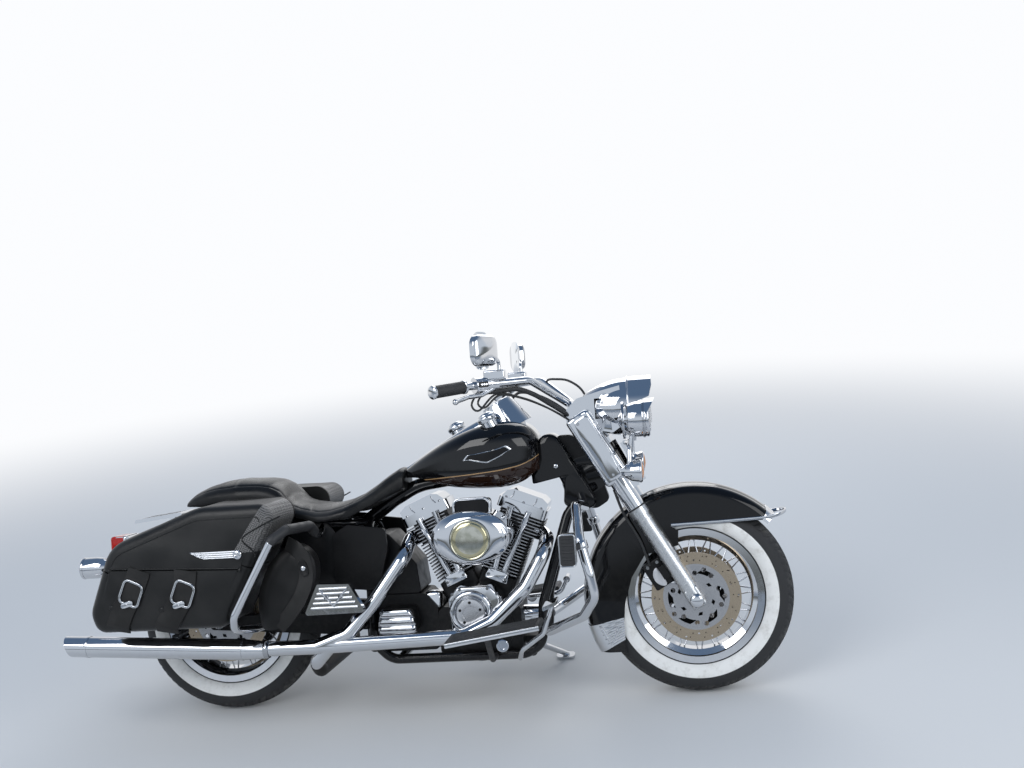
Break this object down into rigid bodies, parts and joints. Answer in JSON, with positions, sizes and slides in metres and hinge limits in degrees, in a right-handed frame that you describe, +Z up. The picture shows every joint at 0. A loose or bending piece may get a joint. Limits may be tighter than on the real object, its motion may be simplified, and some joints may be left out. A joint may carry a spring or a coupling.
{
  "type": "touring cruiser motorcycle",
  "caption": "Touring cruiser motorcycle with a finned vee engine, laced wheels, deep fenders, leather bags and a fork nacelle, leaning on its side stand",
  "frame": {"origin": "Centre of the bounding box's bottom face, on the road", "axes": "+X is forward, +Y is to the rider's left, +Z is up; the machine leans towards +Y on its side stand"},
  "size_m": [2.4095, 1.0289, 1.2708],
  "materials": {
    "frame": "satin black",
    "swingarm": "satin black",
    "rear_axle": "plain",
    "rear_shocks": "black, sprung inside",
    "rear_fender": "gloss black",
    "rear_lamps": "bright with red lens",
    "luggage_rack": "polished",
    "crankcase": "black powder coat",
    "cylinders": "black with bright fin edges",
    "rocker_boxes": "polished",
    "pushrod_tubes": "polished",
    "gearcase_cover": "polished",
    "air_cleaner": "polished",
    "primary_cover": "polished",
    "gearbox": "satin",
    "drive_belt": "toothed belt",
    "header_pipes": "polished shields",
    "mufflers": "polished",
    "fuel_tank": "two tone gloss",
    "tank_console": "polished",
    "seat": "smooth black",
    "side_covers": "gloss black",
    "bag_right": "black",
    "bag_left": "black",
    "bag_guards": "polished",
    "guard_pouches": "black",
    "engine_guard": "polished",
    "highway_pegs": "pads on bright arms",
    "rider_boards": "treads on bright pans",
    "passenger_boards": "polished covers",
    "foot_controls": "polished",
    "rear_caliper": "black",
    "fork_tubes": "polished",
    "fork_sliders": "brushed",
    "headlamp_nacelle": "polished",
    "headlamp": "clear lens",
    "auxiliary_lamps": "polished",
    "handlebar": "polished",
    "grips": "black",
    "hand_controls": "polished",
    "mirrors": "polished",
    "front_fender": "gloss black",
    "front_axle": "plain",
    "front_calipers": "black",
    "front_tyre": "wide whitewall",
    "front_rim": "laced wire spokes",
    "front_discs": "drilled",
    "rear_tyre": "wide whitewall",
    "rear_rim": "laced wire spokes",
    "rear_disc": "drilled",
    "rear_pulley": "dark",
    "side_stand": "satin",
    "lid_right": "black",
    "lid_left": "black"
  },
  "bodies": {
    "chassis": {"frame": "frame", "swingarm": "swingarm", "rear_axle": "rear_axle", "rear_shocks": "rear_shocks", "rear_fender": "rear_fender", "rear_lamps": "rear_lamps", "luggage_rack": "luggage_rack", "crankcase": "crankcase", "cylinders": "cylinders", "rocker_boxes": "rocker_boxes", "pushrod_tubes": "pushrod_tubes", "gearcase_cover": "gearcase_cover", "air_cleaner": "air_cleaner", "primary_cover": "primary_cover", "gearbox": "gearbox", "drive_belt": "drive_belt", "header_pipes": "header_pipes", "mufflers": "mufflers", "fuel_tank": "fuel_tank", "tank_console": "tank_console", "seat": "seat", "side_covers": "side_covers", "bag_right": "bag_right", "bag_left": "bag_left", "bag_guards": "bag_guards", "guard_pouches": "guard_pouches", "engine_guard": "engine_guard", "highway_pegs": "highway_pegs", "rider_boards": "rider_boards", "passenger_boards": "passenger_boards", "foot_controls": "foot_controls", "rear_caliper": "rear_caliper"},
    "steering": {"fork_tubes": "fork_tubes", "fork_sliders": "fork_sliders", "headlamp_nacelle": "headlamp_nacelle", "headlamp": "headlamp", "auxiliary_lamps": "auxiliary_lamps", "handlebar": "handlebar", "grips": "grips", "hand_controls": "hand_controls", "mirrors": "mirrors", "front_fender": "front_fender", "front_axle": "front_axle", "front_calipers": "front_calipers"},
    "front_wheel": {"front_tyre": "front_tyre", "front_rim": "front_rim", "front_discs": "front_discs"},
    "rear_wheel": {"rear_tyre": "rear_tyre", "rear_rim": "rear_rim", "rear_disc": "rear_disc", "rear_pulley": "rear_pulley"},
    "side_stand": {"side_stand": "side_stand"},
    "lid_right": {"lid_right": "lid_right"},
    "lid_left": {"lid_left": "lid_left"}
  },
  "joints": [
    {"name": "steering_head", "type": "hinge", "parent": "chassis", "child": "steering", "pos_m": [0.66257, -0.01061, 0.76674], "axis": [-0.4384, 0.1561, 0.8851], "range_deg": [-30, 30]},
    {"name": "front_wheel_spin", "type": "hinge", "parent": "steering", "child": "front_wheel", "pos_m": [0.88476, -0.09005, 0.31623], "axis": [0, 0.9848, -0.1736], "continuous": true},
    {"name": "rear_wheel_spin", "type": "hinge", "parent": "chassis", "child": "rear_wheel", "pos_m": [-0.72824, -0.09005, 0.31623], "axis": [0, 0.9848, -0.1736], "continuous": true},
    {"name": "side_stand_pivot", "type": "hinge", "parent": "chassis", "child": "side_stand", "pos_m": [0.31426, 0.02659, 0.13117], "axis": [0.1286, 0.6538, 0.7456], "range_deg": [0, 80]},
    {"name": "lid_right_hinge", "type": "hinge", "parent": "chassis", "child": "lid_right", "pos_m": [-0.62174, -0.21405, 0.76762], "axis": [-1, 0, 0], "range_deg": [0, 75]},
    {"name": "lid_left_hinge", "type": "hinge", "parent": "chassis", "child": "lid_left", "pos_m": [-0.62174, 0.18086, 0.69799], "axis": [1, 0, 0], "range_deg": [0, 75]}
  ]
}
